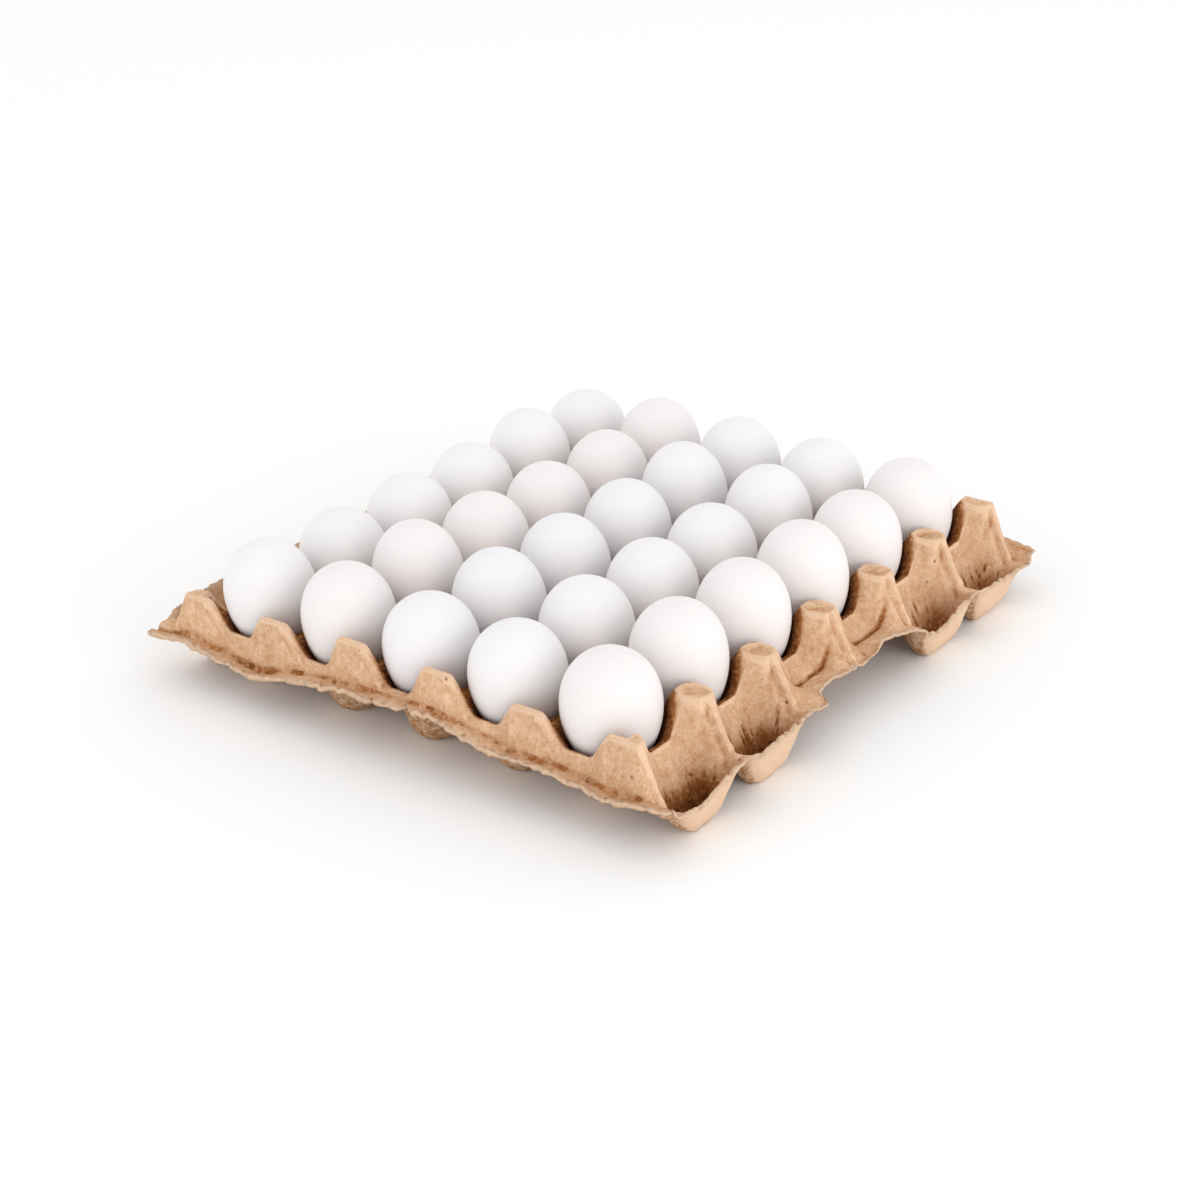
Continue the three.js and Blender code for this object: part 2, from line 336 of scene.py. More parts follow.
def outside_post(x, y):
    """Distance outside the flat top of the nearest post. Those of the front row are cut short inwards."""
    by_lip = (y < PITCH_Y / 2 - POST_LINE_Y) & (y > -POST_LINE_Y)
    half_y = np.where(by_lip, LIP_POST_BACK, POST_HALF_Y)
    corner = np.where(by_lip, LIP_POST_CORNER, POST_CORNER)
    dx = np.abs(from_post_line(x, POST_LINE_X, PITCH_X)) - POST_HALF_X + corner
    dy = np.abs(from_post_line(y, POST_LINE_Y, PITCH_Y)) - half_y + corner
    dy = np.where(by_lip & (dy > 0), dy * LIP_POST_STEEPNESS, dy)
    beyond = np.hypot(np.maximum(dx, 0), np.maximum(dy, 0))
    return beyond + np.minimum(np.maximum(dx, dy), 0) - corner


def post_top(x, y):
    """Height of the nearest post's top"""
    column = np.clip(np.round((x + POST_LINE_X) / PITCH_X), 0, COLUMNS).astype(int)
    row = np.clip(np.round((y + POST_LINE_Y) / PITCH_Y), 0, ROWS).astype(int)
    by_chance = POST_TOP - POST_UNEVENNESS * (1 + np.sin(column * CHANCE_BY_COLUMN + row * CHANCE_BY_ROW))
    return np.where(row == 0, np.take(FRONT_POST_TOPS, column), by_chance)


def post_height(x, y):
    """Posts with straight flanks, before the cups are pressed in"""
    return mix(SADDLE, post_top(x, y), flank(outside_post(x, y) / POST_SPREAD, POST_FLANK))


def cup_height(radius):
    share = clamp01((radius - CUP_FLOOR_RADIUS) / (CUP_WALL_RADIUS - CUP_FLOOR_RADIUS))
    wall = PULP + (SADDLE - PULP) * (1 - flank(share, CUP_CURVE))
    return wall + CUP_FACE_SLOPE * np.maximum(radius - CUP_BRIM_RADIUS, 0)


def from_cell_middle(x, y):
    return np.hypot(
        PITCH_X / 2 - np.abs(from_post_line(x, POST_LINE_X, PITCH_X)),
        PITCH_Y / 2 - np.abs(from_post_line(y, POST_LINE_Y, PITCH_Y)),
    )


def cell_height(x, y):
    return np.minimum(cup_height(from_cell_middle(x, y)), post_height(x, y))


def rim_height(y, side):
    return np.where(side > 0, along_line(FRONT_RIM_HEIGHTS, y), along_line(BACK_RIM_HEIGHTS, y))


def rim_out(y, side):
    return np.where(side > 0, along_line(FRONT_RIM_OUTS, y), RIM_OUT_X)


def on_shelf(y):
    scoop = np.clip(np.floor((y + POST_LINE_Y) / PITCH_Y), 0, ROWS - 1)
    return np.isin(scoop, SHELVES)


def valley_height(out, y, side):
    """Lowest line of a scoop or shelf, out from the post line"""
    rim = rim_height(y, side)
    shelf = np.where(
        out < SHELF_FOOT,
        mix(SADDLE, SHELF_CREASE, out / SHELF_FOOT),
        mix(SHELF_CREASE, rim, (out - SHELF_FOOT) / (rim_out(y, side) - SHELF_FOOT)),
    )
    climb = clamp01((out - SCOOP_OUTER_FOOT) / (RIM_OUT_X - SCOOP_OUTER_FOOT))
    deep = np.where(
        out < SCOOP_INNER_FOOT, mix(SADDLE, PULP, out / SCOOP_INNER_FOOT), mix(PULP, rim, climb)
    )
    return np.where(on_shelf(y), shelf, deep)


def ridge_share(out):
    """0 where a ridge leaves its post and 1 from its foot outwards"""
    return clamp01((out - POST_HALF_X) / (RIDGE_FOOT - POST_HALF_X))


def ridge_half_width(out):
    """The post's top ends in an oval, and the ridge runs on from it"""
    oval = POST_HALF_Y * np.sqrt(clamp01(1 - (np.maximum(out, 0) / POST_OVAL_REACH) ** 2))
    return np.maximum(oval, RIDGE_HALF_WIDTH)


def wide_flange_height(out, y, side):
    """Ridges run out from the posts to the rim, with scoops and shelves between them"""
    foot = ridge_share(out)
    end = clamp01((out - RIDGE_FOOT) / (RIM_OUT_X - RIDGE_FOOT))
    ridge_end = rim_height(y, side) - RIDGE_END_RISE
    crest = mix(post_top(side * POST_LINE_X, y), ridge_end, foot) + RIDGE_END_RISE * end
    aside = np.abs(from_post_line(y, POST_LINE_Y, PITCH_Y))
    ridge = np.clip(np.round((y + POST_LINE_Y) / PITCH_Y), 0, ROWS).astype(int)
    spread = mix(POST_SPREAD, np.take(RIDGE_SPREADS, ridge), foot)
    share = (aside - ridge_half_width(out)) / spread
    return mix(valley_height(out, y, side), crest, flank(share, POST_FLANK))


def wall_outs(x):
    """Where the outer wall starts and where it meets the lip, out from the post line"""
    aside = np.abs(from_post_line(np.clip(x, -POST_LINE_X, POST_LINE_X), POST_LINE_X, PITCH_X))
    panel = 1 - clamp01((aside - PANEL_HALF_WIDTH) / PANEL_BLEND)
    return mix(WALL_TOP_OUT, PANEL_TOP_OUT, panel), mix(WALL_FOOT_OUT, PANEL_FOOT_OUT, panel)


def sheet_height(x, y):
    """Upper face of the sheet. The lip on +Y is the one on -Y turned half round."""
    beyond_x = np.abs(x) - POST_LINE_X
    beyond_y = np.abs(y) - POST_LINE_Y
    inside = np.clip(y, -POST_LINE_Y, POST_LINE_Y)
    flange = wide_flange_height(np.maximum(beyond_x, 0), inside, np.sign(x))
    top = np.where(beyond_x > 0, flange, cell_height(x, inside))
    start, foot = wall_outs(x)
    share = clamp01((beyond_y - start) / (foot - start))
    return mix(top, along_line(LIP_HEIGHTS, -np.sign(y) * x), share)


def noise_at(points, grain):
    """Smooth noise of that grain at each point of an array, about -1 to 1"""
    size, seed = grain
    shift = Vector([seed * step for step in SEED_STEP])
    flat = [noise.noise(Vector(p) / size + shift) for p in points.reshape(-1, 3).tolist()]
    return np.array(flat).reshape(points.shape[:-1])


def patches_at(points, patches):
    """Those patches of noise at each point of an array, 0 to 1"""
    base, swing, grain = patches
    return clamp01(base + swing * noise_at(points, grain))


def grid_line_places(cells, pitch, post_half, coarse_lines):
    """Places of the grid's lines between the outer post lines, with a line on each edge of a post's top"""
    turns = [0, post_half, FINE_REACH, pitch - FINE_REACH, pitch - post_half, pitch]
    counts = [POST_LINES, FLANK_LINES, coarse_lines, FLANK_LINES, POST_LINES]
    cell = np.concatenate([
        np.linspace(start, end, count, endpoint=False) for start, end, count in zip(turns, turns[1:], counts)
    ])
    starts = np.arange(cells) * pitch - cells * pitch / 2
    return np.append((starts[:, None] + cell).ravel(), cells * pitch / 2)


def beside_ridge(y, reach):
    """Lines beside a ridge draw in towards it as it gets thinner"""
    offset = from_post_line(y, POST_LINE_Y, PITCH_Y)
    aside = np.abs(offset)
    share = (aside - POST_HALF_Y) / (PITCH_Y / 2 - POST_HALF_Y)
    drawn = np.where(share > 0, mix(reach, PITCH_Y / 2, share), aside / POST_HALF_Y * reach)
    return y - offset + np.sign(offset) * drawn


def sheet_places():
    """Where the grid's points lie in plan, and their shares of the way out to the rims along X and Y"""
    inner_x = grid_line_places(COLUMNS, PITCH_X, POST_HALF_X, COARSE_LINES_X)
    inner_y = grid_line_places(ROWS, PITCH_Y, POST_HALF_Y, COARSE_LINES_Y)
    out_x = np.linspace(0, 1, FLANGE_LINES + 1)[1:]
    out_y = np.arange(1, WALL_LINES + LIP_LINES + 1) / (WALL_LINES + LIP_LINES)
    share_x = np.concatenate([-out_x[::-1], np.zeros(len(inner_x)), out_x])
    share_y = np.concatenate([-out_y[::-1], np.zeros(len(inner_y)), out_y])
    nominal_x = np.pad(inner_x, FLANGE_LINES, mode="edge")
    nominal_y = np.pad(inner_y, len(out_y), mode="edge")
    share_x, share_y = np.meshgrid(share_x, share_y)
    nominal_x, nominal_y = np.meshgrid(nominal_x, nominal_y)

    along_y = nominal_y + share_y * RIM_OUT_Y
    place = np.dstack([nominal_x, along_y, np.zeros_like(along_y)])
    rag = RIM_RAG * noise_at(place, RAG_GRAIN) + RIM_RAG_FINE * noise_at(place, FINE_RAG_GRAIN)
    rag = rag - RIM_TEAR * patches_at(place, TEAR_PATCHES)
    wide_rag = np.minimum(WIDE_RIM_RAG * rag, WIDE_RIM_JUT)
    reach = rim_out(along_y, share_x) + wide_rag * np.abs(share_x) ** PULL_POWER
    pulled = np.where((share_x < 0) & (share_y < 0), -BACK_CORNER_REACH, CORNER_PULL)
    pull = pulled * np.abs(share_x * share_y) ** PULL_POWER
    x = nominal_x + share_x * reach - np.sign(share_x) * pull

    start, foot = wall_outs(x)
    steps = np.abs(share_y) * (WALL_LINES + LIP_LINES)
    on_wall = mix(start, foot, (steps - 1) / (WALL_LINES - 1))
    on_lip = mix(foot, RIM_OUT_Y + rag, (steps - WALL_LINES) / LIP_LINES)
    out = np.where(steps < 1, 0, np.where(steps <= WALL_LINES, on_wall, on_lip))
    ridge_reach = np.maximum(ridge_half_width(np.abs(x) - POST_LINE_X), RIDGE_FINE_REACH)
    drawn = beside_ridge(nominal_y, ridge_reach)
    y = np.where(share_y == 0, drawn, nominal_y + np.sign(share_y) * (out - pull))
    return x, y, share_x, share_y


def normals_of(points):
    """Unit normals of a grid of points, upwards"""
    along_x = np.gradient(points, axis=1)
    along_y = np.gradient(points, axis=0)
    normal = np.cross(along_x, along_y)
    return normal / np.linalg.norm(normal, axis=2, keepdims=True)


def smoothed(values, passes):
    """The grid's values, each drawn halfway towards its neighbours' mean in each pass"""
    for _ in range(passes):
        padded = np.pad(values, [(1, 1), (1, 1)] + [(0, 0)] * (values.ndim - 2), mode="edge")
        around = padded[:-2, 1:-1] + padded[2:, 1:-1] + padded[1:-1, :-2] + padded[1:-1, 2:]
        values = (values + around / 4) / 2
    return values


def dish_share(x, y, place):
    """1 in the uneven hollow in a post's top. The posts along the narrow lips have none."""
    from_middle = np.hypot(
        from_post_line(x, POST_LINE_X, PITCH_X) / DISH_HALF_X,
        from_post_line(y, POST_LINE_Y, PITCH_Y) / DISH_HALF_Y,
    )
    uneven = from_middle + DISH_UNEVENNESS * noise_at(place, DISH_GRAIN)
    return mound(uneven, 1) * (np.abs(y) < POST_LINE_Y - PITCH_Y / 2)


def foot_share(x, y, half_width):
    """1 along the crease between an outer wall and its narrow lip"""
    start, foot = wall_outs(x)
    beyond = np.abs(y) - POST_LINE_Y - foot
    distance = np.where(beyond < 0, beyond * WALL_STEEPNESS, beyond)
    return mound(np.maximum(np.abs(distance) - FOOT_FLAT, 0), half_width) * (beyond > start - foot)


def shelf_crease(x, y):
    """1 along the crease where a shelf turns up towards the rim, and 0 under the ridges beside it"""
    out_x = np.abs(x) - POST_LINE_X
    beside = np.abs(from_post_line(y, POST_LINE_Y, PITCH_Y))
    clear = clamp01((beside - CREASE_START) / CREASE_FADE)
    return mound(out_x - SHELF_FOOT, CREASE_HALF) * on_shelf(y) * clear


def ridge_beads(x, y):
    """Height of the bead on each ridge, with a groove beside it and a knob at the ridge's foot"""
    out_x = np.maximum(np.abs(x) - POST_LINE_X, 0)
    beside = from_post_line(np.clip(y, -POST_LINE_Y, POST_LINE_Y), POST_LINE_Y, PITCH_Y)
    on_top = (np.abs(y) - POST_LINE_Y < WALL_TOP_OUT) * (out_x > 0)
    on_ridge = on_top * faded(out_x - POST_HALF_X, BEAD_FADE) * faded(RIDGE_FOOT - out_x, BEAD_FADE)
    bead = RIDGE_BEAD * mound(beside, RIDGE_BEAD_HALF)
    groove = RIDGE_GROOVE * mound(beside + RIDGE_GROOVE_AT, GROOVE_HALF)
    knob = RIDGE_KNOB * mound(np.hypot(out_x - RIDGE_FOOT, beside), RIDGE_KNOB_HALF)
    return on_ridge * (bead - groove) + on_top * knob


def panel_beads(x, y, z):
    """Height of the bead along one edge of each outer panel, with a groove beside it"""
    out_y = np.maximum(np.abs(y) - POST_LINE_Y, 0)
    start, foot = wall_outs(x)
    down = clamp01((out_y - start) / (foot - start))
    along = np.sign(-y) * from_post_line(x, POST_LINE_X, PITCH_X)
    on_panel = (out_y > WALL_TOP_OUT) * (np.abs(x) <= POST_LINE_X)
    on_panel = on_panel * faded(along - PANEL_BEAD_FROM, BEAD_FADE) * faded(PANEL_BEAD_TO - along, BEAD_FADE)
    on_panel = on_panel * clamp01((1 - down) * PANEL_BEAD_STEEPNESS)
    top = post_height(x, np.clip(y, -POST_LINE_Y, POST_LINE_Y))
    from_edge = (top - z) * PANEL_EDGE_COSINE
    bead = PANEL_BEAD * mound(from_edge - PANEL_BEAD_AT, PANEL_BEAD_HALF)
    groove = PANEL_GROOVE * mound(from_edge - PANEL_GROOVE_AT, GROOVE_HALF)
    return on_panel * (bead - groove)


def detail_of(x, y, z, streaks):
    """Height that beads, grooves, creases and pressed folds add to the sheet, square to it"""
    place = np.dstack([x, y, z])
    inside_y = np.clip(y, -POST_LINE_Y, POST_LINE_Y)
    raised = ridge_beads(x, y) + panel_beads(x, y, z)
    foot = FOOT_GROOVE * foot_share(x, y, FOOT_GROOVE_HALF) * patches_at(place, FOOT_GROOVE_PATCHES)
    dish = DISH_DEPTH * dish_share(x, y, place)
    crease = CREASE_DEPTH * shelf_crease(x, inside_y)
    return raised - foot - dish - crease - STREAK_RELIEF * streaks


def streaks_of(x, y, z):
    """Folds of the pulp that run down into the scoops, 0 to 1"""
    out_x = np.maximum(np.abs(x) - POST_LINE_X, 0)
    beside = from_post_line(y, POST_LINE_Y, PITCH_Y)
    aside = np.sign(beside) * (PITCH_Y / 2 - np.abs(beside))
    angle = np.arctan2(aside, np.abs(out_x - RIDGE_FOOT) + STREAK_FAN)
    scoop = np.round((y + POST_LINE_Y) / PITCH_Y) + np.sign(x) * ROWS
    around = np.dstack([angle * STREAK_DENSITY, scoop * STREAK_SCOOP_SHIFT, np.zeros_like(x)])
    top = STREAK_TOP * (1 + noise_at(around, STREAK_TOP_GRAIN))
    low = clamp01((top - z) / STREAK_RISE)
    low = low * (out_x > STREAK_START) * clamp01((SCOOP_OUTER_FOOT - out_x) / STREAK_END_FADE)
    return low * clamp01(STREAK_WIDTH - STREAK_SHARPNESS * np.abs(noise_at(around, STREAK_GRAIN)))


def along_normal(change, normal):
    return (change * normal).sum(axis=2)


def piece_from(name, points, faces, material):
    """A smooth mesh piece from points in millimetres"""
    mesh = bpy.data.meshes.new(name)
    mesh.from_pydata((np.asarray(points) * MM).tolist(), [], faces)
    mesh.polygons.foreach_set("use_smooth", np.ones(len(mesh.polygons), dtype=bool))
    mesh.materials.append(material)
    piece = bpy.data.objects.new(name, mesh)
    bpy.context.scene.collection.objects.link(piece)
    return piece


def quads_of(grid):
    """The four corners of each face of a grid of indices"""
    return np.stack([grid[:-1, :-1], grid[:-1, 1:], grid[1:, 1:], grid[1:, :-1]], axis=-1).reshape(-1, 4)


def edge_loop(down, across):
    """Indices of the grid's outer points, once round"""
    return np.concatenate([
        np.arange(across - 1),
        np.arange(down - 1) * across + across - 1,
        (down - 1) * across + np.arange(across - 1, 0, -1),
        np.arange(down - 1, 0, -1) * across,
    ])


def low_share(z):
    """1 near the table and 0 from some height up"""
    return clamp01((LOW_TOP - z) / LOW_RISE)


def painted_shades_of(x, y, z, upper, streaks):
    """Where painted shade falls on the sheet: in its depths, beside the eggs, in folds and creases, and
    along the feet of its walls, with a wider rusty tint there
    """
    within = np.abs(y) < POST_LINE_Y + WALL_TOP_OUT
    # Painted shade low in the cups and scoops, half as strong in the two quarters where x and y share a sign
    scoops = within * low_share(z) * np.where(x * y > 0, LIGHTER_SCOOP_SHADE, 1)
    # Painted shade on the flanks between the posts and the eggs, within reach of each egg
    inward = clamp01(POST_LINE_Y - np.abs(y) - LIP_CLEAR)
    near_egg = clamp01((EGG_SHADE_RADIUS - from_cell_middle(x, y)) / EGG_SHADE_FADE)
    shade_beside_egg = inward * (np.abs(x) < POST_LINE_X) * near_egg
    # Painted shade along the groove at the foot of each wall, in patches, and a wider rusty tint
    foot = foot_share(x, y, FOOT_SHADE_HALF) * patches_at(upper, FOOT_SHADE_PATCHES)
    foot = np.maximum(foot, FOOT_TINT * foot_share(x, y, FOOT_TINT_HALF))
    # Painted shade in the folds of the scoops and along the creases of the shelves
    creases = shelf_crease(x, y) * patches_at(upper, CREASE_SHADE_PATCHES)
    return {"deep": np.maximum(scoops, shade_beside_egg), "fold_shade": np.maximum(streaks, creases), "foot": foot}


def sheet_points(x, y, share_x, share_y):
    """Points of the upper face with its relief, how near a rim each is, and where painted shade falls on it
    """
    z = sheet_height(x, y)
    upper = np.dstack([x, y, np.maximum(z, smoothed(z, FILLET_PASSES))])
    streaks = streaks_of(x, y, z)
    relief = noise_at(upper, RELIEF_GRAIN) + FINE_RELIEF_SHARE * noise_at(upper, FINE_RELIEF_GRAIN)
    relief = RELIEF * relief * (1 - TOP_CALM * clamp01((z - SADDLE) / TOP_CALM_RISE))
    detail = detail_of(x, y, z, streaks) + relief
    upper = upper + normals_of(upper) * detail[..., None]
    rim = np.maximum(np.abs(share_x), np.abs(share_y)) ** RIM_POWER
    wave = RIM_WAVE * noise_at(upper, WAVE_GRAIN) + RIM_WAVE_FINE * noise_at(upper, FINE_WAVE_GRAIN)
    upper[..., 2] = np.maximum(upper[..., 2] + wave * rim, PULP)
    return upper, rim, painted_shades_of(x, y, z, upper, streaks)


def lower_face(x, y, share_x, share_y, upper, normal):
    """The sheet's lower face: under the upper one by the pulp's thickness, and flat on the table"""
    thicker = LIP_THICKENING * np.abs(share_y) * patches_at(upper, LIP_PATCHES)
    thickness = PULP * (1 + thicker - RIM_THINNING * np.abs(share_x) ** RIM_POWER)
    cup_feet = low_share(upper[..., 2]) * (np.abs(x) < POST_LINE_X) * (np.abs(y) < POST_LINE_Y)
    thickness = thickness + CUP_FOOT_SWELL * cup_feet
    lower = upper - normal * thickness[..., None]
    on_floor = upper[..., 2] < PULP + FLOOR_REACH
    lower[..., 2] = np.where(on_floor, 0, np.maximum(lower[..., 2], 0))
    return lower


def outward_at(share, loop):
    """-1 or 1 at the loop's points on an outer side in that direction, and 0 at the others"""
    along = share.ravel()[loop]
    return np.sign(along) * (np.abs(along) == 1)


def torn_edge(upper, lower, share_x, share_y):
    """Middle line of the sheet's rounded edge, once round"""
    loop = edge_loop(*share_x.shape)
    top = upper.reshape(-1, 3)[loop]
    bottom = lower.reshape(-1, 3)[loop]
    outward = np.stack([outward_at(share_x, loop), outward_at(share_y, loop), np.zeros(len(loop))], axis=1)
    swell = PULP * (EDGE_SWELL + EDGE_UNEVENNESS * noise_at(top, EDGE_GRAIN))
    middle = (top + bottom) / 2 + outward * swell[:, None]
    middle[:, 2] = np.maximum(middle[:, 2], 0)
    return middle


def sheet_faces(upper_shape, lower_shape):
    """Faces of the upper grid, of the lower one with half its lines, and of the edge between them"""
    grid = np.arange(np.prod(upper_shape)).reshape(upper_shape)
    lower_grid = grid.size + np.arange(np.prod(lower_shape)).reshape(lower_shape)
    loop = edge_loop(*upper_shape)
    lower_loop = grid.size + edge_loop(*lower_shape)
    ring = grid.size + lower_grid.size + np.arange(len(loop))
    after, lower_after, ring_after = np.roll(loop, -1), np.roll(lower_loop, -1), np.roll(ring, -1)
    between = ring[1::2]
    return [
        *quads_of(grid).tolist(),
        *quads_of(lower_grid)[:, ::-1].tolist(),
        *np.stack([loop, ring, ring_after, after], axis=-1).tolist(),
        *np.stack([between, ring[::2], lower_loop], axis=-1).tolist(),
        *np.stack([between, lower_loop, lower_after], axis=-1).tolist(),
        *np.stack([between, lower_after, ring_after[1::2]], axis=-1).tolist(),
    ]


def add_shares(mesh, name, on_upper, on_lower=0, on_edge=0):
    """Store shares on the points of the sheet's upper face, lower face and edge for its material"""
    lower = np.broadcast_to(on_lower, on_upper[::2, ::2].shape)
    edge_points = len(mesh.vertices) - on_upper.size - lower.size
    shares = np.concatenate([on_upper.ravel(), lower.ravel(), np.full(edge_points, on_edge)])
    attribute = mesh.attributes.new(name, "FLOAT", "POINT")
    attribute.data.foreach_set("value", shares.astype(np.float32))


def build_tray(material):
    x, y, share_x, share_y = sheet_places()
    upper, rim, painted_shades = sheet_points(x, y, share_x, share_y)
    normal = smoothed(normals_of(upper), NORMAL_PASSES)
    full_lower = lower_face(x, y, share_x, share_y, upper, normal)
    lower = full_lower[::2, ::2]
    edge = torn_edge(upper, full_lower, share_x, share_y)
    points = np.concatenate([upper.reshape(-1, 3), lower.reshape(-1, 3), edge])
    tray = piece_from("tray_sheet", points, sheet_faces(rim.shape, lower.shape[:2]), material)

    # Painted shade in hollows and creases, and a painted highlight on crests, from how far each point lies
    # under or over its neighbours
    painted_shades["hollow"] = along_normal(smoothed(upper, HOLLOW_PASSES) - upper, normal)
    painted_shades["crease"] = along_normal(smoothed(upper, CREASE_PASSES) - upper, normal)
    for name, shares in painted_shades.items():
        add_shares(tray.data, name, shares)
    # Nearness to a rim: a painted highlight along the rims and edges, coarser relief and no specks there
    pale_rim = rim**PALE_RIM_POWER
    add_shares(tray.data, "rim", pale_rim, on_lower=pale_rim[::2, ::2], on_edge=1)
    # Undersides: the outer walls of the scoops are smooth and pale, partly painted light; elsewhere rough,
    # darker pulp also stands in for the shade under the tray
    outer_walls = (np.abs(x) > POST_LINE_X + RIDGE_FOOT) & (np.abs(y) < POST_LINE_Y) & ~on_shelf(y)
    faces_out = faded(np.abs(normal[..., 0]) - np.abs(normal[..., 1]), FACING_FADE)
    under = mix(ROUGH_UNDER, SMOOTH_UNDER, outer_walls * faces_out)[::2, ::2]
    add_shares(tray.data, "under", np.zeros_like(rim), on_lower=under, on_edge=EDGE_UNDER)
    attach(tray, BODY)
    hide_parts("tray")


def egg_radius(length, girth, height):
    """Radius of an egg at a height above its middle, the blunt end being above"""
    along = -2 * height
    blunt = 4 * EGG_POINTEDNESS * along + 4 * EGG_POINTEDNESS**2
    return girth / 2 * np.sqrt(np.maximum(length**2 - along**2, 0) / (length**2 + blunt))


def egg_frame(node):
    """Lower pole, axis, length and girth of a CAD egg, in millimetres"""
    corners = np.array([v.co[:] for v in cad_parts[node].data.vertices]) / MM
    apart = np.linalg.norm(corners[:, None] - corners[None], axis=2)
    pair = corners[list(np.unravel_index(apart.argmax(), apart.shape))]
    low, high = pair[pair[:, 2].argsort()]
    length = apart.max()
    axis = (high - low) / length
    from_low = corners - low
    girth = 2 * np.linalg.norm(from_low - np.outer(from_low @ axis, axis), axis=1).max()
    return low, axis, length, girth


def build_egg(node, number, material):
    low, axis, length, girth = egg_frame(node)
    heights = -length / 2 * np.cos(np.pi * np.arange(1, EGG_BANDS) / EGG_BANDS)
    turn = 2 * np.pi * np.arange(EGG_SIDES) / EGG_SIDES
    radius = egg_radius(length, girth, heights)[:, None]
    rings = np.dstack([radius * np.cos(turn), radius * np.sin(turn), heights[:, None] + 0 * turn])
    points = np.concatenate([[[0, 0, -length / 2]], rings.reshape(-1, 3), [[0, 0, length / 2]]])
    bulge = EGG_UNEVENNESS / girth * noise_at(points, (EGG_GRAIN_SIZE, FIRST_EGG_SEED + number))
    points = points * (1 + bulge)[:, None]
    last = len(points) - 1
    ring = 1 + np.arange((EGG_BANDS - 1) * EGG_SIDES).reshape(EGG_BANDS - 1, EGG_SIDES)
    beside = np.roll(ring, -1, axis=1)
    faces = np.stack([ring[:-1], beside[:-1], beside[1:], ring[1:]], axis=-1).reshape(-1, 4).tolist()
    faces += [[0, b, a] for a, b in zip(ring[0].tolist(), beside[0].tolist())]
    faces += [[last, a, b] for a, b in zip(ring[-1].tolist(), beside[-1].tolist())]
    egg = piece_from(node + "_shell", points, faces, material)
    middle = low + axis * length / 2
    turned = Vector((0, 0, 1)).rotation_difference(Vector(axis)).to_matrix().to_4x4()
    egg.matrix_world = Matrix.Translation(Vector(middle) * MM) @ turned
    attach(egg, BODY)
    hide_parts(node)


class Look:
    """A node material with short calls to add and join its nodes"""

    def __init__(self, name):
        self.material = bpy.data.materials.new(name)
        self.material.use_nodes = True
        self.nodes = self.material.node_tree.nodes
        self.links = self.material.node_tree.links
        self.shader = self.nodes["Principled BSDF"]
        self.place = self.nodes.new("ShaderNodeTexCoord").outputs["Object"]

    def add(self, kind, settings=(), **inputs):
        node = self.nodes.new(kind)
        for key, value in dict(settings).items():
            setattr(node, key, value)
        for key, value in inputs.items():
            self.feed(node.inputs[key], value)
        return node

    def feed(self, socket, value):
        if isinstance(value, bpy.types.NodeSocket):
            self.links.new(value, socket)
        else:
            socket.default_value = value

    def noise(self, scale, detail=3, roughness=0.55, place=None):
        node = self.add(
            "ShaderNodeTexNoise", Vector=place or self.place, Scale=scale, Detail=detail, Roughness=roughness
        )
        return node.outputs["Fac"]

    def patches(self, scale, low, high, to_low=0.0, to_high=1.0, detail=3, roughness=0.55):
        """Noise with its values between low and high spread over a new range"""
        return self.ranged(self.noise(scale, detail, roughness), low, high, to_low, to_high)

    def stretched(self, scale):
        return self.add("ShaderNodeMapping", Vector=self.place, Scale=scale).outputs["Vector"]

    def attribute(self, name):
        return self.add("ShaderNodeAttribute", {"attribute_name": name}).outputs["Fac"]

    def ranged(self, value, low, high, to_low=0.0, to_high=1.0):
        node = self.add("ShaderNodeMapRange", Value=value)
        for key, number in (("From Min", low), ("From Max", high), ("To Min", to_low), ("To Max", to_high)):
            node.inputs[key].default_value = number
        return node.outputs["Result"]

    def math(self, operation, first, second):
        node = self.add("ShaderNodeMath", {"operation": operation})
        self.feed(node.inputs[0], first)
        self.feed(node.inputs[1], second)
        return node.outputs["Value"]

    def blend(self, share, first, second):
        node = self.add("ShaderNodeMix", {"data_type": "RGBA"})
        colours = [s for s in node.inputs if s.type == "RGBA"]
        self.feed(node.inputs["Factor"], share)
        self.feed(colours[0], first)
        self.feed(colours[1], second)
        return next(s for s in node.outputs if s.type == "RGBA")

    def bump(self, height, distance, strength, under=None):
        node = self.add("ShaderNodeBump", Height=height, Distance=distance, Strength=strength)
        if under is not None:
            self.links.new(under, node.inputs["Normal"])
        return node.outputs["Normal"]


def kraft_colour(look):
    """Dark and pale clouds, rust, crossing fibres and grain"""
    blotches = look.patches(scale=38, detail=4, low=0.35, high=0.65)
    colour = look.blend(blotches, KRAFT_DARK, KRAFT)
    clouds = look.patches(scale=190, detail=6, roughness=0.75, low=0.38, high=0.66, to_high=0.8)
    colour = look.blend(clouds, colour, KRAFT_PALE_AND_HIGHLIGHT)
    rust = look.patches(scale=260, detail=6, roughness=0.75, low=0.52, high=0.70, to_high=0.5)
    colour = look.blend(rust, colour, KRAFT_RUST_AND_SHADE)
    fibre = look.noise(scale=1, detail=4, roughness=0.65, place=look.stretched(scale=(420, 1500, 900)))
    cross_fibre = look.noise(scale=1, detail=4, roughness=0.65, place=look.stretched(scale=(1500, 420, 900)))
    fibres = look.math("MULTIPLY", fibre, cross_fibre)
    colour = look.blend(look.ranged(fibres, low=0.2, high=0.36, to_high=0.35), colour, KRAFT_DARK)
    grain = look.noise(scale=850, detail=4, roughness=0.7)
    colour = look.blend(look.ranged(grain, low=0.5, high=0.68, to_high=0.45), colour, KRAFT_PALE_AND_HIGHLIGHT)
    return look.blend(look.ranged(grain, low=0.5, high=0.34, to_high=0.4), colour, KRAFT_DARK)


